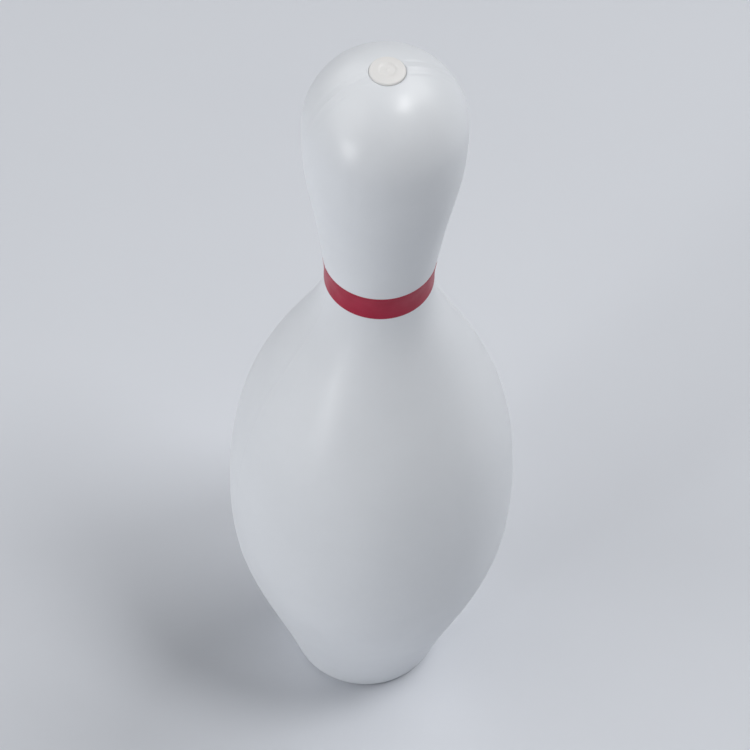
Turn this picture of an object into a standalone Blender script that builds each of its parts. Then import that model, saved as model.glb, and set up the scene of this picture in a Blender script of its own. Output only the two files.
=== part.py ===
"""Hollow blow-moulded practice bowling pin, 381 mm tall.

Four pieces: the plastic shell, the push-in plug in its crown, the red band round its neck
and the ballast set in the bottom of its hollow. All of them are turned about the Z axis.
Metres, +Z up, with the origin in the middle of the foot, on the surface the pin stands on.
"""

import math

import bpy
import numpy as np

MM = 0.001

# Driving dimensions of the pin, in millimetres.
HEIGHT = 381.0          # foot to the top of the plug
WALL = 2.5              # blow-moulded wall
GAP = 0.3               # clearance between neighbouring pieces

# Outside of the shell: (height, radius) from the heel to the widest part of the head.
STATIONS = (
    (19.0, 36.9),       # lower taper
    (57.0, 49.7),
    (86.0, 57.5),
    (115.0, 60.0),      # belly
    (149.0, 58.2),
    (184.0, 49.8),      # shoulder
    (219.0, 34.0),
    (238.0, 25.8),
    (258.0, 22.0),      # waist of the neck
    (276.0, 23.5),
    (298.0, 26.5),
    (321.0, 30.3),
    (333.0, 31.6),
    (348.0, 32.0),      # head
)
HEAD_HEIGHT, HEAD_RADIUS = STATIONS[-1]
CROWN_RISE = 32.6       # the crown is half an ellipse of this height above the head's widest part

# Foot: a flat ring to stand on, a rounded heel outside it and a pushed-up middle.
FOOT_OUTER = 28.2
FOOT_INNER = 20.0
HEEL_RADIUS = 3.8
HEEL_SLOPE = 0.33       # growth of the radius with height where the heel meets the taper
LIP_WIDTH = 1.0         # chamfer on the ring's inner edge
LIP_HEIGHT = 0.3
RISER_WIDTH = 2.6       # the steep side of the push-up ends this far inside the ring
RISER_HEIGHT = 2.2
PUSH_UP_RADIUS = 16.0
PUSH_UP_EDGE = 3.0
PUSH_UP_MIDDLE = 4.5

# Floor of the hollow over the foot ring, measured from the ring's edges.
FLOOR_RAMP_WIDTH = 1.5
FLOOR_RAMP_HEIGHT = 1.1
FLOOR_MARGIN = 0.5
FLOOR_CORNER_WIDTH = 1.0
FLOOR_CORNER_HEIGHT = 0.8

# Neck band and the shallow seat that it lies in.
BAND_BOTTOM = 256.6
BAND_TOP = 270.0
BAND_SEAT = 0.7         # depth of the seat
BAND_PROUD = 0.1        # how far the band stands out of the shell
SEAT_MARGIN = 1.0       # the side's own points keep this far away from the seat's edges

# Filling hole in the crown: a pocket for the plug's flange, and a collar round the bore.
POCKET_RADIUS = 7.4
POCKET_FLOOR = 378.6
BORE_RADIUS = 5.0
COLLAR_RADIUS = 7.6
COLLAR_BOTTOM = 368.0

# Crown plug.
FLANGE_RADIUS = 7.0
FLANGE_EDGE = 380.3     # height of the flange's outer corner
FLANGE_BEVEL = 0.5      # width of the bevel round the flange's face
FLANGE_BEVEL_RISE = 0.3
FACE_RADIUS = 5.0       # the flange's face is nearly flat out to here
FACE_FALL = 0.1
DIMPLE_RADIUS = 3.4
DIMPLE_FLOOR_RADIUS = 2.38
DIMPLE_DEPTH = 0.5
STEM_RADIUS = 4.3
STEM_BEVEL = 0.4
RIB_RADIUS = 4.7
RIB_HEIGHTS = (375.6, 372.2, 368.8)
RIB_HALF = 0.6
STEM_BOTTOM = 366.0
STEM_BORE = 3.0
STEM_BORE_TOP = 377.4

BALLAST_TOP = 44.0

# Fineness of the turned meshes.
SEGMENTS = 48
OUTER_STEPS = 30
INNER_STEPS = 14
CROWN_STEPS = 8
INNER_CROWN_STEPS = 5
HEEL_STEPS = 3
DOME_STEPS = 2
BALLAST_STEPS = 4
BAND_LEVELS = 3


def clamped_spline(stations, start_slope, end_slope):
    """Cubic spline through the stations: returns a function that gives radius and slope at a height."""
    height = np.array([station[0] for station in stations])
    radius = np.array([station[1] for station in stations])
    step = np.diff(height)
    rise = np.diff(radius) / step
    count = len(stations)
    matrix = np.zeros((count, count))
    right = np.zeros(count)
    matrix[0, 0] = 1.0
    right[0] = start_slope
    matrix[-1, -1] = 1.0
    right[-1] = end_slope
    for i in range(1, count - 1):
        matrix[i, i - 1] = step[i]
        matrix[i, i] = 2.0 * (step[i - 1] + step[i])
        matrix[i, i + 1] = step[i - 1]
        right[i] = 3.0 * (step[i] * rise[i - 1] + step[i - 1] * rise[i])
    slope = np.linalg.solve(matrix, right)

    def at(z):
        i = int(np.clip(np.searchsorted(height, z) - 1, 0, count - 2))
        t = (z - height[i]) / step[i]
        a = slope[i] - rise[i]
        b = slope[i + 1] - rise[i]
        bend = t * (1.0 - t) * (a * (1.0 - t) - b * t)
        value = radius[i] + rise[i] * step[i] * t + step[i] * bend
        tilt = rise[i] + a * (1.0 - t) * (1.0 - 3.0 * t) + b * t * (3.0 * t - 2.0)
        return value, tilt

    return at


def heel_end():
    """Where the rounded heel meets the lower taper: (radius, height)."""
    angle = math.atan(HEEL_SLOPE)
    radius = FOOT_OUTER + HEEL_RADIUS * math.cos(angle)
    return radius, HEEL_RADIUS * (1.0 - math.sin(angle))


HEEL_END_RADIUS, HEEL_END = heel_end()
body_radius = clamped_spline(((HEEL_END, HEEL_END_RADIUS),) + STATIONS, HEEL_SLOPE, 0.0)


def crown(inset, radius_from, steps):
    """Points of the crown's ellipse, set in by inset, from radius_from down to the head's widest part."""
    across = HEAD_RADIUS - inset
    up = CROWN_RISE - inset
    start = math.acos(radius_from / across)
    angles = np.linspace(start, 0.0, steps + 1)
    return [(across * math.cos(a), HEAD_HEIGHT + up * math.sin(a)) for a in angles]


def inset_body(inset, height):
    """The body's outside at this height, moved square to the surface into the wall by inset."""
    radius, slope = body_radius(height)
    length = math.hypot(1.0, slope)
    return radius - inset / length, height + inset * slope / length


def outer_side():
    """The outside from below the crown to the heel, with the seat for the band."""
    heights = np.linspace(HEAD_HEIGHT, HEEL_END, OUTER_STEPS + 1)[1:]
    above = [(body_radius(z)[0], z) for z in heights if z > BAND_TOP + SEAT_MARGIN]
    below = [(body_radius(z)[0], z) for z in heights if z < BAND_BOTTOM - SEAT_MARGIN]
    levels = np.linspace(BAND_TOP, BAND_BOTTOM, BAND_LEVELS)
    seat = [(body_radius(z)[0] - BAND_SEAT, z) for z in levels]
    top_edge = (body_radius(BAND_TOP)[0], BAND_TOP)
    bottom_edge = (body_radius(BAND_BOTTOM)[0], BAND_BOTTOM)
    return above + [top_edge] + seat + [bottom_edge] + below


def heel():
    """The rounded heel, from just under the taper down to the flat of the foot."""
    angles = np.linspace(math.atan(HEEL_SLOPE), math.pi / 2, HEEL_STEPS + 1)[1:]
    points = []
    for a in angles:
        points.append((FOOT_OUTER + HEEL_RADIUS * math.cos(a), HEEL_RADIUS * (1.0 - math.sin(a))))
    return points


def push_up(lift):
    """The pushed-up middle of the foot from its edge to the axis, raised by lift."""
    radii = np.linspace(PUSH_UP_RADIUS, 0.0, DOME_STEPS + 1)
    rise = PUSH_UP_MIDDLE - PUSH_UP_EDGE
    return [(r, lift + PUSH_UP_EDGE + rise * (1.0 - (r / PUSH_UP_RADIUS) ** 2)) for r in radii]


def inner_floor(inset):
    """The hollow's floor from the axis out to the wall, inset from the outside of the foot."""
    ring = [
        (FOOT_INNER - FLOOR_RAMP_WIDTH, inset + FLOOR_RAMP_HEIGHT),
        (FOOT_INNER + FLOOR_MARGIN, inset),
        (FOOT_OUTER - FLOOR_MARGIN, inset),
        (FOOT_OUTER + FLOOR_CORNER_WIDTH, inset + FLOOR_CORNER_HEIGHT),
    ]
    return push_up(inset)[::-1] + ring


def shell_outline():
    """From the middle of the hollow's floor, up the inside, and down the outside to the middle of the foot."""
    heights = np.linspace(HEEL_END + WALL, HEAD_HEIGHT, INNER_STEPS + 1)[:-1]
    inside = [inset_body(WALL, z) for z in heights]
    inside += crown(WALL, COLLAR_RADIUS, INNER_CROWN_STEPS)[::-1]
    hole = [
        (COLLAR_RADIUS, COLLAR_BOTTOM),
        (BORE_RADIUS, COLLAR_BOTTOM),
        (BORE_RADIUS, POCKET_FLOOR),
        (POCKET_RADIUS, POCKET_FLOOR),
    ]
    outside = crown(0.0, POCKET_RADIUS, CROWN_STEPS) + outer_side() + heel()
    foot = [
        (FOOT_INNER, 0.0),
        (FOOT_INNER - LIP_WIDTH, LIP_HEIGHT),
        (FOOT_INNER - RISER_WIDTH, RISER_HEIGHT),
    ]
    return inner_floor(WALL) + inside + hole + outside + foot + push_up(0.0)


def band_outline():
    """A closed ring that lies in its seat with the gap all round and stands slightly proud."""
    levels = np.linspace(BAND_TOP - GAP, BAND_BOTTOM + GAP, BAND_LEVELS)
    outside = [(body_radius(z)[0] + BAND_PROUD, z) for z in levels]
    inside = [(body_radius(z)[0] - BAND_SEAT + GAP, z) for z in levels]
    return outside + inside[::-1]


def plug_outline():
    """From the middle of the dimple out over the flange, down the ribbed stem and up its bore."""
    top = [
        (0.0, HEIGHT - DIMPLE_DEPTH),
        (DIMPLE_FLOOR_RADIUS, HEIGHT - DIMPLE_DEPTH),
        (DIMPLE_RADIUS, HEIGHT),
        (FACE_RADIUS, HEIGHT - FACE_FALL),
        (FLANGE_RADIUS - FLANGE_BEVEL, FLANGE_EDGE + FLANGE_BEVEL_RISE),
        (FLANGE_RADIUS, FLANGE_EDGE),
        (FLANGE_RADIUS, POCKET_FLOOR + GAP),
        (STEM_RADIUS, POCKET_FLOOR + GAP),
    ]
    stem = []
    for z in RIB_HEIGHTS:
        stem += [(STEM_RADIUS, z + RIB_HALF), (RIB_RADIUS, z), (STEM_RADIUS, z - RIB_HALF)]
    end = [
        (STEM_RADIUS - STEM_BEVEL, STEM_BOTTOM),
        (STEM_BORE, STEM_BOTTOM),
        (STEM_BORE, STEM_BORE_TOP),
        (0.0, STEM_BORE_TOP),
    ]
    return top + stem + end


def ballast_outline():
    """Fills the bottom of the hollow up to a level top, with the gap to the shell all round."""
    inset = WALL + GAP
    heights = np.linspace(HEEL_END + WALL, BALLAST_TOP, BALLAST_STEPS + 1)
    wall = [inset_body(inset, z) for z in heights]
    side = inner_floor(inset) + wall
    return [(0.0, wall[-1][1])] + side[::-1]


def plastic(name, colour, roughness):
    """A non-metal Principled material."""
    material = bpy.data.materials.new(name)
    material.use_nodes = True
    shader = material.node_tree.nodes["Principled BSDF"]
    shader.inputs["Base Color"].default_value = (*colour, 1.0)
    shader.inputs["Roughness"].default_value = roughness
    shader.inputs["Metallic"].default_value = 0.0
    material.diffuse_color = (*colour, 1.0)
    return material


def turned(name, outline, material, collection, origin_height=0.0, closed=False):
    """Turns an outline of (radius, height) points in millimetres about Z, with a Screw modifier."""
    points = [(r * MM, 0.0, (z - origin_height) * MM) for r, z in outline]
    edges = [(i, i + 1) for i in range(len(points) - 1)]
    if closed:
        edges.append((len(points) - 1, 0))
    mesh = bpy.data.meshes.new(name)
    mesh.from_pydata(points, edges, [])
    mesh.materials.append(material)
    piece = bpy.data.objects.new(name, mesh)
    piece.location = (0.0, 0.0, origin_height * MM)
    collection.objects.link(piece)
    screw = piece.modifiers.new("turn", "SCREW")
    screw.axis = "Z"
    screw.angle = 2.0 * math.pi
    screw.steps = SEGMENTS
    screw.render_steps = SEGMENTS
    screw.use_merge_vertices = True
    screw.merge_threshold = 0.00001
    screw.use_smooth_shade = True
    return piece


def main():
    for thing in list(bpy.data.objects):
        bpy.data.objects.remove(thing, do_unlink=True)

    pin = bpy.data.collections.new("bowling_pin")
    bpy.context.scene.collection.children.link(pin)

    white = plastic("shell_white", (0.80, 0.82, 0.85), 0.38)
    warm_white = plastic("plug_white", (0.83, 0.81, 0.77), 0.42)
    crimson = plastic("band_red", (0.42, 0.02, 0.05), 0.35)
    grey = plastic("ballast_grey", (0.45, 0.43, 0.40), 0.90)

    turned("pin_shell", shell_outline(), white, pin)
    turned("crown_plug", plug_outline(), warm_white, pin, origin_height=POCKET_FLOOR)
    turned("neck_band", band_outline(), crimson, pin, closed=True)
    turned("ballast", ballast_outline(), grey, pin)


main()
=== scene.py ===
"""Looks of the practice bowling pin: moulded shell, crown plug, vinyl neck band and ballast."""

import math

import bpy
import numpy as np
from mathutils import Matrix, Vector, noise


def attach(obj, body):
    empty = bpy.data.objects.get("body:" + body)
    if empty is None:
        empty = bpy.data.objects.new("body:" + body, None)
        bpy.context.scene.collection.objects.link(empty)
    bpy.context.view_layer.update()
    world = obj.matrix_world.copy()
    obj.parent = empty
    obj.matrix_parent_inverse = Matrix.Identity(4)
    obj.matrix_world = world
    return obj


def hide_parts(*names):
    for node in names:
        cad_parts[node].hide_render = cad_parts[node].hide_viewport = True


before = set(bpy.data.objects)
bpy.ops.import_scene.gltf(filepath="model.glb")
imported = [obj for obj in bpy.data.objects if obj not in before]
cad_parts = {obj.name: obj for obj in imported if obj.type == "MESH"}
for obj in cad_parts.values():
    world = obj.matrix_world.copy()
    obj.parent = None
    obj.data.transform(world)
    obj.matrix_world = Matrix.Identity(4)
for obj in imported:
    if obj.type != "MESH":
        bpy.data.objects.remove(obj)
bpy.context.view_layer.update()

MM = 0.001

# The same driving dimensions as the CAD source, in millimetres.
HEIGHT = 381.0
WALL = 2.5
GAP = 0.3               # clearance between neighbouring pieces

# Outside of the shell: (height, radius) from the heel to the widest part of the head.
STATIONS = (
    (19.0, 36.9),
    (57.0, 49.7),
    (86.0, 57.5),
    (115.0, 60.0),
    (149.0, 58.2),
    (184.0, 49.8),
    (219.0, 34.0),
    (238.0, 25.8),
    (258.0, 22.0),
    (276.0, 23.5),
    (298.0, 26.5),
    (321.0, 30.3),
    (333.0, 31.6),
    (348.0, 32.0),
)
HEAD_HEIGHT, HEAD_RADIUS = STATIONS[-1]
CROWN_RISE = 32.6       # the crown is half an ellipse of this height above the head's widest part

# Foot, with the floor of the hollow over it measured from the ring's edges.
FOOT_OUTER = 28.2
FOOT_INNER = 20.0
HEEL_RADIUS = 3.8
HEEL_SLOPE = 0.33
PUSH_UP_RADIUS = 16.0
PUSH_UP_EDGE = 3.0
PUSH_UP_MIDDLE = 4.5
FLOOR_RAMP_WIDTH = 1.5
FLOOR_RAMP_HEIGHT = 1.1
FLOOR_MARGIN = 0.5
FLOOR_CORNER_WIDTH = 1.0
FLOOR_CORNER_HEIGHT = 0.8

# Seat of the neck band, then the filling hole in the crown and its plug.
BAND_BOTTOM = 256.6
BAND_TOP = 270.0
POCKET_FLOOR = 378.6
BORE_RADIUS = 5.0
COLLAR_RADIUS = 7.6
COLLAR_BOTTOM = 368.0
FLANGE_RADIUS = 7.0
STEM_RADIUS = 4.3
RIB_RADIUS = 4.7
RIB_HEIGHTS = (375.6, 372.2, 368.8)
RIB_HALF = 0.6
STEM_BOTTOM = 366.0
STEM_BORE = 3.0
STEM_BORE_TOP = 377.4

# Fine surface of the moulding, in millimetres.
SKIN_INSET = 0.15       # the visible skin lies this far inside the CAD outside, so seams stay within it
SEAM_HEIGHT = 0.11      # parting line on the body
SEAM_WIDTH = 0.32
SCAR_RIDGE = 0.32       # trimmed flash over the crown: a low ridge between two shallow valleys
SCAR_RIDGE_WIDTH = 0.95
SCAR_VALLEY = 0.24
SCAR_VALLEY_WIDTH = 0.60
SCAR_VALLEY_OFFSET = 3.1
SCAR_FAINT_SHARE = 0.4  # the scar is fainter on the -X side
SNUG_RADIUS = 7.08      # the soft pocket closes round the plug's flange
RIM_ROUND = 0.35        # radius of the pocket's rounded rim
FOOT_BLEND = 6.0        # the relief fades out over this height above the foot
WAVE_HEIGHT = 0.05      # slow unevenness of a blown wall
WAVE_LENGTH = 38.0
FLANGE_FALL = 0.062     # how fast the flange's domed face falls to its edge
FLANGE_ROUND = 0.85
DIMPLE_RADIUS = 3.6     # outer end of the shallow ring-shaped recess in the flange's face
DIMPLE_DEPTH = 0.45
BAND_THICKNESS = 0.12
BAND_LAP = 11.0         # length of the overlap where the strip's ends meet
BAND_STEP = 1.2         # the upper end climbs on to the lower one over this length
BAND_TUCK = 0.03        # the strip's back lies this far inside the skin
BAND_EDGE_SHARE = 0.6   # of the thickness, at the strip's softened edges

# Fineness of the meshes.
CROWN_STEPS = 60
BODY_LEVELS = 230
HOLLOW_LEVELS = 60
HOLLOW_CROWN_STEPS = 12
FOOT_LEVELS = 14
FLOOR_LEVELS = 8
COLUMNS_BETWEEN_SEAMS = 58
PLUG_COLUMNS = 96
BAND_COLUMNS = 260
BAND_LEVELS = 24

# Scales of the materials' noise, in cells to a metre.
CLOUD_SCALE = 26.0
GLOSS_SCALE = 90.0
PEEL_SCALE = 420.0
MOULD_GRAIN_SCALE = 2600.0
DYE_SCALE = 160.0
VINYL_GRAIN_SCALE = 1500.0
GRIT_SCALE = 900.0
MOTTLE_SCALE = 9.0

# The camera as it stands to the front pin: from the middle of the pin, in metres and degrees.
CAMERA_TARGET = Vector((0.0, 0.0, 0.19))
CAMERA_DISTANCE = 1.614
CAMERA_ELEVATION = 53.5
CAMERA_AZIMUTH = -2.2
CAMERA_ROLL = 2.35      # the pin stands on a crease and leans this much to the right
CAMERA_LENS = 189.0
STAGE_TURN = -18.0      # the pin's parting line is turned against the camera: camera and lights turn instead

# The studio, in metres and watts.
FLOOR_HALF = 30.0
FLOOR_DROP = 0.0001     # keeps the floor clear of the foot's flat ring
LIGHT_TARGET = Vector((0.0, 0.0, 0.30))
LAMP_DISTANCE = 2.4
# Each lamp's direction from the pin's head with Y away from the camera, its width over its distance,
# and its power at a distance of 1 m.
LAMPS = (
    ("overhead", (0.38, -0.15, 0.91), 0.28, 3.3),
    ("low_left", (-0.73, -0.69, 0.04), 0.16, 1.9),
    ("upper_right", (0.60, 0.32, 0.78), 0.80, 5.0),
    ("left_wall", (-0.80, -0.30, 0.50), 1.0, 3.8),
    ("back_left", (-0.60, 0.65, 0.45), 0.75, 1.5),
)
HORIZON_LIGHT = 0.26    # strength of the surround level with the floor
SKY_LIGHT = 0.02        # and overhead
SURROUND_COLOUR = (0.93, 0.96, 1.0, 1.0)


# ---------------------------------------------------------------- outlines

def clamped_spline(stations, start_slope, end_slope):
    """Cubic spline through the stations: returns a function that gives radius and slope at a height."""
    height = np.array([station[0] for station in stations])
    radius = np.array([station[1] for station in stations])
    step = np.diff(height)
    rise = np.diff(radius) / step
    count = len(stations)
    matrix = np.zeros((count, count))
    right = np.zeros(count)
    matrix[0, 0] = 1.0
    right[0] = start_slope
    matrix[-1, -1] = 1.0
    right[-1] = end_slope
    for i in range(1, count - 1):
        matrix[i, i - 1] = step[i]
        matrix[i, i] = 2.0 * (step[i - 1] + step[i])
        matrix[i, i + 1] = step[i - 1]
        right[i] = 3.0 * (step[i] * rise[i - 1] + step[i - 1] * rise[i])
    slope = np.linalg.solve(matrix, right)

    def at(z):
        i = int(np.clip(np.searchsorted(height, z) - 1, 0, count - 2))
        t = (z - height[i]) / step[i]
        a = slope[i] - rise[i]
        b = slope[i + 1] - rise[i]
        bend = t * (1.0 - t) * (a * (1.0 - t) - b * t)
        value = radius[i] + rise[i] * step[i] * t + step[i] * bend
        tilt = rise[i] + a * (1.0 - t) * (1.0 - 3.0 * t) + b * t * (3.0 * t - 2.0)
        return value, tilt

    return at


def heel_end():
    """Where the rounded heel meets the lower taper: (radius, height)."""
    angle = math.atan(HEEL_SLOPE)
    radius = FOOT_OUTER + HEEL_RADIUS * math.cos(angle)
    return radius, HEEL_RADIUS * (1.0 - math.sin(angle))


HEEL_END_RADIUS, HEEL_END = heel_end()
body_radius = clamped_spline(((HEEL_END, HEEL_END_RADIUS),) + STATIONS, HEEL_SLOPE, 0.0)


def arc(centre, radius, start, end, steps):
    """Points of a circular arc in the (radius, height) plane, angles in degrees."""
    angles = np.radians(np.linspace(start, end, steps + 1))
    return [(centre[0] + radius * math.cos(a), centre[1] + radius * math.sin(a)) for a in angles]


def crown(inset, radius_from, steps):
    """Points of the crown's ellipse, set in by inset, from radius_from down to the head's widest part."""
    across = HEAD_RADIUS - inset
    up = CROWN_RISE - inset
    start = math.acos(radius_from / across)
    angles = np.linspace(start, 0.0, steps + 1)
    return [(across * math.cos(a), HEAD_HEIGHT + up * math.sin(a)) for a in angles]


def inset_body(inset, height):
    """The body's outside at this height, moved square to the surface into the wall by inset."""
    radius, slope = body_radius(height)
    length = math.hypot(1.0, slope)
    return radius - inset / length, height + inset * slope / length


def skin_outline():
    """The outside that shows, from the pocket's rounded rim down to the heel."""
    edge = crown(0.0, SNUG_RADIUS + RIM_ROUND, CROWN_STEPS)
    rim_height = edge[0][1]
    rim = arc((SNUG_RADIUS + RIM_ROUND, rim_height - RIM_ROUND), RIM_ROUND, 180, 105, 6)
    heights = np.linspace(HEAD_HEIGHT, HEEL_END, BODY_LEVELS)[1:]
    body = [(body_radius(z)[0], z) for z in heights]
    heel_start = -math.degrees(math.atan(HEEL_SLOPE))
    heel = arc((FOOT_OUTER, HEEL_RADIUS), HEEL_RADIUS, heel_start, -90, 10)[1:]
    return rim + edge + body + heel


def push_up(levels):
    """The pushed-up middle of the foot, from the axis out to its edge."""
    radii = np.linspace(0.0, PUSH_UP_RADIUS, levels)
    rise = PUSH_UP_MIDDLE - PUSH_UP_EDGE
    return [(r, PUSH_UP_EDGE + rise * (1.0 - (r / PUSH_UP_RADIUS) ** 2)) for r in radii]


def foot_outline():
    """The flat ring that the pin stands on and its pushed-up middle, out to in."""
    ring = [(FOOT_INNER + 4.0, 0.0), (FOOT_INNER + 0.6, 0.0)]
    riser_round = 1.2
    riser = arc((FOOT_INNER + 0.3, riser_round), riser_round, 270, 200, 5)
    return ring + riser + push_up(FOOT_LEVELS)[::-1]


def hollow_outline():
    """The inside, from the middle of the floor up to the collar, the bore and the plug's pocket."""
    floor = [(r, WALL + z) for r, z in push_up(FLOOR_LEVELS)]
    floor += [
        (FOOT_INNER - FLOOR_RAMP_WIDTH, WALL + FLOOR_RAMP_HEIGHT),
        (FOOT_INNER + FLOOR_MARGIN, WALL),
        (FOOT_OUTER - FLOOR_MARGIN, WALL),
        (FOOT_OUTER + FLOOR_CORNER_WIDTH, WALL + FLOOR_CORNER_HEIGHT),
    ]
    heights = np.linspace(HEEL_END + WALL, HEAD_HEIGHT, HOLLOW_LEVELS)[:-1]
    inside = [inset_body(WALL, z) for z in heights]
    inside += crown(WALL, COLLAR_RADIUS, HOLLOW_CROWN_STEPS)[::-1]
    soft = 0.5
    crisp = 0.3
    hole = arc((COLLAR_RADIUS - soft, COLLAR_BOTTOM + soft), soft, 0, -90, 4)
    hole += arc((BORE_RADIUS + soft, COLLAR_BOTTOM + soft), soft, -90, -180, 4)
    hole += arc((BORE_RADIUS + crisp, POCKET_FLOOR - crisp), crisp, 180, 90, 4)
    hole += [(SNUG_RADIUS - 0.2, POCKET_FLOOR), (SNUG_RADIUS, POCKET_FLOOR + 0.2)]
    return floor + inside + hole


# ---------------------------------------------------------------- turned meshes

def make_object(name, vertices, faces, sharp_angle):
    """A mesh object shaded smooth except along its real corners."""
    mesh = bpy.data.meshes.new(name)
    mesh.from_pydata([tuple(v) for v in vertices], [], faces)
    mesh.validate()
    mesh.update()
    mesh.shade_smooth()
    mesh.set_sharp_from_angle(angle=math.radians(sharp_angle))
    piece = bpy.data.objects.new(name, mesh)
    bpy.context.scene.collection.objects.link(piece)
    return piece


def seam_columns(radius):
    """Angles round one ring: close together beside the two parting lines, even in between."""
    ridge = np.arange(0.0, 0.6, 0.12)
    scar = np.arange(0.6, 4.3, 0.25)
    millimetres_off = np.concatenate([ridge, scar, [4.7]])
    beside = millimetres_off / max(radius, SNUG_RADIUS)
    between = np.linspace(beside[-1], math.pi - beside[-1], COLUMNS_BETWEEN_SEAMS)[1:-1]
    half = np.concatenate([beside, between, math.pi - beside[::-1]])
    return np.concatenate([half, math.pi + half[1:-1]])


def even_columns(count):
    """A function that gives the same evenly spaced angles for every ring."""
    return lambda radius: np.linspace(0.0, 2.0 * math.pi, count, endpoint=False)


def turned(name, outline, columns, sharp_angle, relief=None):
    """Turns an outline whose ends lie on the axis about Z.

    relief gives how far a point is moved along its normal."""
    profile = np.array(outline, float)
    tangent = np.gradient(profile, axis=0)
    tangent /= np.maximum(np.linalg.norm(tangent, axis=1, keepdims=True), 1e-9)
    normal = np.stack([-tangent[:, 1], tangent[:, 0]], axis=1)
    vertices = []
    rings = []
    for (radius, height), (out, up) in zip(profile, normal):
        if radius < 1e-6:
            rings.append([len(vertices)])
            vertices.append((0.0, 0.0, height * MM))
            continue
        ring = []
        for angle in columns(radius):
            move = relief(radius, height, angle) if relief else 0.0
            r = radius + move * out
            ring.append(len(vertices))
            z = height + move * up
            vertices.append((r * math.cos(angle) * MM, r * math.sin(angle) * MM, z * MM))
        rings.append(ring)
    faces = []
    for a, b in zip(rings, rings[1:]):
        count = max(len(a), len(b))
        for j in range(count):
            k = (j + 1) % count
            if len(a) == 1:
                faces.append((a[0], b[j], b[k]))
            elif len(b) == 1:
                faces.append((a[j], b[0], a[k]))
            else:
                faces.append((a[j], b[j], b[k], a[k]))
    return make_object(name, vertices, faces, sharp_angle)


# ---------------------------------------------------------------- pieces

def bell(x):
    """A smooth bump, 1 in the middle and near 0 past 2."""
    return math.exp(-x * x)


def seam_relief(radius, height, angle):
    """The parting line's height at a point of the skin: a fine ridge, and a trimmed scar on the crown.

    The scar starts beside the plug's hole and fades out towards the head's widest part."""
    across = radius * math.sin(angle)
    line = SEAM_HEIGHT * bell(across / SEAM_WIDTH)
    if height <= HEAD_HEIGHT:
        return line
    out = (radius - SNUG_RADIUS) / (HEAD_RADIUS - SNUG_RADIUS)
    share = 1.0 if math.cos(angle) > 0.0 else SCAR_FAINT_SHARE
    ridge = SCAR_RIDGE * bell(across / SCAR_RIDGE_WIDTH)
    valley = SCAR_VALLEY * bell((abs(across) - SCAR_VALLEY_OFFSET) / SCAR_VALLEY_WIDTH)
    fade = share * min(1.0, 2.2 * (1.0 - out)) * min(1.0, 8.0 * out)
    return line * (1.0 - fade) + (ridge - valley) * fade


def skin_relief(radius, height, angle):
    """Everything that lifts the skin: slow waves of the blown wall, the parting line and its scar."""
    place = Vector((radius * math.cos(angle), radius * math.sin(angle), height)) / WAVE_LENGTH
    wave = WAVE_HEIGHT * noise.noise(place)
    lift = wave + seam_relief(radius, height, angle) - SKIN_INSET
    return lift * min(1.0, max(0.0, (height - 0.5) / FOOT_BLEND))


def shell_relief(radius, height, angle):
    """Relief on the outside only: the hollow, the hole and the foot stay plain."""
    if height > HEAD_HEIGHT:
        rise = (height - HEAD_HEIGHT) / CROWN_RISE
        outer = HEAD_RADIUS * math.sqrt(max(0.0, 1.0 - rise * rise))
    else:
        outer = body_radius(height)[0]
    if height < HEEL_END or radius < outer - 0.5 * WALL or radius < SNUG_RADIUS + 0.2:
        return 0.0
    return skin_relief(radius, height, angle)


def build_shell():
    """The blow-moulded bottle as one closed wall: hollow, bore, pocket, skin and foot."""
    outline = hollow_outline() + skin_outline() + foot_outline()
    shell = turned("shell_moulding", outline, seam_columns, sharp_angle=40.0, relief=shell_relief)
    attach(shell, "pin")
    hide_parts("pin_shell")
    return shell


def plug_outline():
    """The plug from the gate mark in the middle, over the domed flange, down the ribs and up the bore."""
    top = HEIGHT - SKIN_INSET
    recess = top - DIMPLE_DEPTH
    middle = [
        (0.0, recess + 0.20),
        (0.30, recess + 0.20),
        (0.55, recess + 0.14),
        (0.75, recess + 0.02),
        (1.2, recess),
        (2.0, recess),
        (2.6, recess + 0.01),
        (2.95, recess + 0.06),
        (3.2, recess + 0.20),
        (3.4, recess + 0.36),
        (DIMPLE_RADIUS, recess + 0.43),
    ]
    radii = np.linspace(DIMPLE_RADIUS + 0.3, FLANGE_RADIUS - FLANGE_ROUND, 8)
    face = [(r, top - FLANGE_FALL * (r - DIMPLE_RADIUS) ** 2) for r in radii]
    edge_height = face[-1][1]
    edge = arc((FLANGE_RADIUS - FLANGE_ROUND, edge_height - FLANGE_ROUND), FLANGE_ROUND, 74, 0, 10)
    underside = POCKET_FLOOR + GAP
    rim = [
        (FLANGE_RADIUS, underside + 0.2),
        (FLANGE_RADIUS - 0.2, underside),
        (STEM_RADIUS + 0.3, underside),
        (STEM_RADIUS, underside - 0.3),
    ]
    stem = []
    for z in RIB_HEIGHTS:
        stem += [
            (STEM_RADIUS, z + RIB_HALF),
            (RIB_RADIUS - 0.05, z + 0.12),
            (RIB_RADIUS, z),
            (RIB_RADIUS - 0.05, z - 0.12),
            (STEM_RADIUS, z - RIB_HALF),
        ]
    end = arc((STEM_RADIUS - 0.6, STEM_BOTTOM + 0.5), 0.5, -10, -90, 4)
    end += [(STEM_BORE + 0.2, STEM_BOTTOM), (STEM_BORE, STEM_BOTTOM + 0.2)]
    end += [(STEM_BORE, STEM_BORE_TOP - 0.6), (STEM_BORE - 0.6, STEM_BORE_TOP), (0.0, STEM_BORE_TOP)]
    return middle + face + edge + rim + stem + end


def build_plug():
    """The push-in plug, which lifts out along Z."""
    plug = turned("plug_moulding", plug_outline()[::-1], even_columns(PLUG_COLUMNS), sharp_angle=50.0)
    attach(plug, "plug")
    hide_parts("crown_plug")
    return plug


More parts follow.
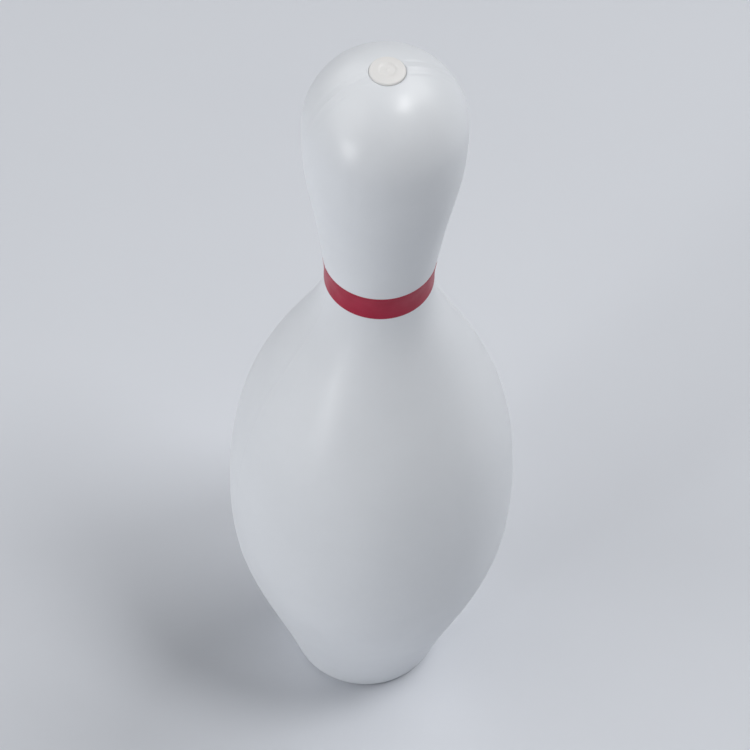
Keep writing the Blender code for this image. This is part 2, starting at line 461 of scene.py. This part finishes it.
def build_band():
    """One vinyl strip round the neck. Its ends lap over each other at the back."""
    waist = body_radius(0.5 * (BAND_TOP + BAND_BOTTOM))[0]
    lap = BAND_LAP / waist
    step_up = BAND_STEP / waist
    start = math.pi / 2 - lap / 2
    turns = np.linspace(0.0, 2.0 * math.pi + lap, BAND_COLUMNS)
    levels = np.linspace(BAND_TOP, BAND_BOTTOM, BAND_LEVELS)
    vertices = []
    for travelled in turns:
        over = travelled - 2.0 * math.pi
        climb = min(1.0, max(0.0, (over + step_up) / step_up))
        layer = BAND_THICKNESS * climb * climb * (3.0 - 2.0 * climb)
        angle = start + travelled
        outer = []
        inner = []
        for i, z in enumerate(levels):
            share = BAND_EDGE_SHARE if i in (0, BAND_LEVELS - 1) else 1.0
            base = body_radius(z)[0] - SKIN_INSET + layer
            outer.append((base + BAND_THICKNESS * share, z))
            inner.append((base - BAND_TUCK, z))
        for r, z in outer + inner[::-1]:
            vertices.append((r * math.cos(angle) * MM, r * math.sin(angle) * MM, z * MM))
    size = 2 * BAND_LEVELS
    faces = []
    for i in range(BAND_COLUMNS - 1):
        for j in range(size):
            k = (j + 1) % size
            faces.append((i * size + j, i * size + k, (i + 1) * size + k, (i + 1) * size + j))
    faces.append(tuple(range(size))[::-1])
    faces.append(tuple((BAND_COLUMNS - 1) * size + j for j in range(size)))
    band = make_object("neck_band_strip", vertices, faces, 40.0)
    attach(band, "pin")
    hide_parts("neck_band")
    return band


# ---------------------------------------------------------------- materials

def new_material(name):
    """An empty Principled material: returns the material, its nodes, its links and the shader."""
    material = bpy.data.materials.new(name)
    material.use_nodes = True
    tree = material.node_tree
    return material, tree.nodes, tree.links, tree.nodes["Principled BSDF"]


def noise_node(nodes, links, vector, scale, detail=3.0, roughness=0.55):
    """Cloudy noise, with scale cells to a metre."""
    node = nodes.new("ShaderNodeTexNoise")
    node.inputs["Scale"].default_value = scale
    node.inputs["Detail"].default_value = detail
    node.inputs["Roughness"].default_value = roughness
    links.new(vector, node.inputs["Vector"])
    return node


def remap(nodes, links, value, low, high, from_low=0.3, from_high=0.7):
    """A value that runs from low to high as the given one goes from from_low to from_high."""
    node = nodes.new("ShaderNodeMapRange")
    node.inputs["From Min"].default_value = from_low
    node.inputs["From Max"].default_value = from_high
    node.inputs["To Min"].default_value = low
    node.inputs["To Max"].default_value = high
    links.new(value, node.inputs["Value"])
    return node.outputs["Result"]


def blend_colour(nodes, links, factor, first, second):
    """A colour that goes from first to second as factor goes from 0 to 1."""
    node = nodes.new("ShaderNodeMix")
    node.data_type = "RGBA"
    links.new(factor, node.inputs["Factor"])
    node.inputs["A"].default_value = (*first, 1.0)
    node.inputs["B"].default_value = (*second, 1.0)
    return node.outputs["Result"]


def bump(nodes, links, height, strength, distance, under=None):
    """Normals of a fine relief, distance metres deep, laid over another one if under is given."""
    node = nodes.new("ShaderNodeBump")
    node.inputs["Strength"].default_value = strength
    node.inputs["Distance"].default_value = distance
    links.new(height, node.inputs["Height"])
    if under is not None:
        links.new(under, node.inputs["Normal"])
    return node.outputs["Normal"]


def moulded_plastic(name, light, dark, smooth, rough, grain):
    """Satin polyethylene: faint cloudiness in its colour, uneven gloss and a fine blasted-mould grain."""
    material, nodes, links, shader = new_material(name)
    place = nodes.new("ShaderNodeTexCoord").outputs["Object"]
    clouds = noise_node(nodes, links, place, CLOUD_SCALE)
    cloud_share = remap(nodes, links, clouds.outputs["Fac"], 0.0, 1.0)
    links.new(blend_colour(nodes, links, cloud_share, light, dark), shader.inputs["Base Color"])
    gloss = noise_node(nodes, links, place, GLOSS_SCALE, detail=4.0)
    links.new(remap(nodes, links, gloss.outputs["Fac"], smooth, rough), shader.inputs["Roughness"])
    peel = noise_node(nodes, links, place, PEEL_SCALE, detail=2.0)
    fine = noise_node(nodes, links, place, MOULD_GRAIN_SCALE, detail=2.0)
    lower = bump(nodes, links, peel.outputs["Fac"], 0.35 * grain, 0.00025)
    links.new(bump(nodes, links, fine.outputs["Fac"], 0.5 * grain, 0.00006, lower), shader.inputs["Normal"])
    shader.inputs["Metallic"].default_value = 0.0
    shader.inputs["IOR"].default_value = 1.51
    shader.inputs["Specular IOR Level"].default_value = 0.5
    return material


def band_vinyl():
    """Crimson vinyl film: slightly uneven dye, soft gloss and a shallow leathery grain."""
    material, nodes, links, shader = new_material("crimson_vinyl")
    place = nodes.new("ShaderNodeTexCoord").outputs["Object"]
    dye = noise_node(nodes, links, place, DYE_SCALE, detail=4.0)
    share = remap(nodes, links, dye.outputs["Fac"], 0.0, 1.0)
    colour = blend_colour(nodes, links, share, (0.42, 0.013, 0.050), (0.37, 0.009, 0.040))
    links.new(colour, shader.inputs["Base Color"])
    links.new(remap(nodes, links, dye.outputs["Fac"], 0.30, 0.42), shader.inputs["Roughness"])
    grain = noise_node(nodes, links, place, VINYL_GRAIN_SCALE, detail=2.0)
    links.new(bump(nodes, links, grain.outputs["Fac"], 0.35, 0.00008), shader.inputs["Normal"])
    shader.inputs["IOR"].default_value = 1.50
    shader.inputs["Specular IOR Level"].default_value = 0.22
    return material


def ballast_fill():
    """Set plaster and sand: grey, gritty and matt."""
    material, nodes, links, shader = new_material("plaster_and_sand")
    place = nodes.new("ShaderNodeTexCoord").outputs["Object"]
    grit = noise_node(nodes, links, place, GRIT_SCALE, detail=6.0, roughness=0.7)
    share = remap(nodes, links, grit.outputs["Fac"], 0.0, 1.0)
    colour = blend_colour(nodes, links, share, (0.52, 0.50, 0.46), (0.36, 0.33, 0.29))
    links.new(colour, shader.inputs["Base Color"])
    links.new(bump(nodes, links, grit.outputs["Fac"], 0.8, 0.0004), shader.inputs["Normal"])
    shader.inputs["Roughness"].default_value = 0.92
    return material


def stage_floor():
    """Plain pale matt floor."""
    material, nodes, links, shader = new_material("pale_floor")
    place = nodes.new("ShaderNodeTexCoord").outputs["Object"]
    mottle = noise_node(nodes, links, place, MOTTLE_SCALE)
    share = remap(nodes, links, mottle.outputs["Fac"], 0.0, 1.0)
    colour = blend_colour(nodes, links, share, (0.715, 0.74, 0.79), (0.705, 0.73, 0.78))
    links.new(colour, shader.inputs["Base Color"])
    shader.inputs["Roughness"].default_value = 0.75
    return material


# ---------------------------------------------------------------- stage

def build_floor():
    """A wide flat sheet under the pin, far larger than any view of it."""
    signs = ((-1, -1), (1, -1), (1, 1), (-1, 1))
    corners = [(x * FLOOR_HALF, y * FLOOR_HALF, -FLOOR_DROP) for x, y in signs]
    mesh = bpy.data.meshes.new("floor")
    mesh.from_pydata(corners, [], [(0, 1, 2, 3)])
    floor = bpy.data.objects.new("floor", mesh)
    bpy.context.scene.collection.objects.link(floor)
    floor.data.materials.append(stage_floor())


def build_lamp(name, direction, spread, strength):
    """A round soft lamp in this direction from the pin's head, facing it."""
    data = bpy.data.lights.new(name, "AREA")
    data.shape = "DISK"
    data.size = spread * LAMP_DISTANCE
    data.energy = strength * LAMP_DISTANCE ** 2
    piece = bpy.data.objects.new(name, data)
    piece.visible_camera = False
    towards = Matrix.Rotation(math.radians(STAGE_TURN), 3, "Z") @ Vector(direction).normalized()
    piece.location = LIGHT_TARGET + towards * LAMP_DISTANCE
    piece.rotation_mode = "QUATERNION"
    piece.rotation_quaternion = (-towards).to_track_quat("-Z", "Y")
    bpy.context.scene.collection.objects.link(piece)


def build_lights():
    """A soft overhead key, a small low lamp to the left, broad fills round the pin and a pale horizon."""
    for name, direction, spread, strength in LAMPS:
        build_lamp(name, direction, spread, strength)
    world = bpy.data.worlds.new("surround")
    world.use_nodes = True
    nodes, links = world.node_tree.nodes, world.node_tree.links
    background = nodes["Background"]
    direction = nodes.new("ShaderNodeTexCoord").outputs["Generated"]
    parts = nodes.new("ShaderNodeSeparateXYZ")
    links.new(direction, parts.inputs["Vector"])
    fade = remap(nodes, links, parts.outputs["Z"], HORIZON_LIGHT, SKY_LIGHT, 0.06, 0.30)
    links.new(fade, background.inputs["Strength"])
    background.inputs["Color"].default_value = SURROUND_COLOUR
    bpy.context.scene.world = world


def build_camera():
    """The camera at the front pin's viewing angle."""
    azimuth = math.radians(CAMERA_AZIMUTH + STAGE_TURN)
    elevation = math.radians(CAMERA_ELEVATION)
    back = Vector((
        math.sin(azimuth) * math.cos(elevation),
        -math.cos(azimuth) * math.cos(elevation),
        math.sin(elevation),
    ))
    data = bpy.data.cameras.new("camera")
    data.lens = CAMERA_LENS
    data.sensor_width = 36.0
    data.dof.use_dof = False
    data.clip_start = 0.05
    data.clip_end = 100.0
    camera = bpy.data.objects.new("camera", data)
    turn = (-back).to_track_quat("-Z", "Y").to_matrix().to_4x4()
    roll = Matrix.Rotation(math.radians(CAMERA_ROLL), 4, "Z")
    camera.matrix_world = Matrix.Translation(CAMERA_TARGET + back * CAMERA_DISTANCE) @ turn @ roll
    bpy.context.scene.collection.objects.link(camera)
    bpy.context.scene.camera = camera


def give_material(piece, material):
    """One material all over the piece."""
    piece.data.materials.clear()
    piece.data.materials.append(material)


bpy.context.scene.view_settings.view_transform = "Standard"
shell_white = moulded_plastic(
    "polyethylene_white",
    light=(0.80, 0.825, 0.86),
    dark=(0.775, 0.80, 0.835),
    smooth=0.30,
    rough=0.39,
    grain=0.5,
)
plug_white = moulded_plastic(
    "plug_white",
    light=(0.835, 0.828, 0.82),
    dark=(0.815, 0.806, 0.795),
    smooth=0.40,
    rough=0.50,
    grain=0.7,
)
give_material(build_shell(), shell_white)
give_material(build_plug(), plug_white)
give_material(build_band(), band_vinyl())
give_material(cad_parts["ballast"], ballast_fill())
build_floor()
build_lights()
build_camera()
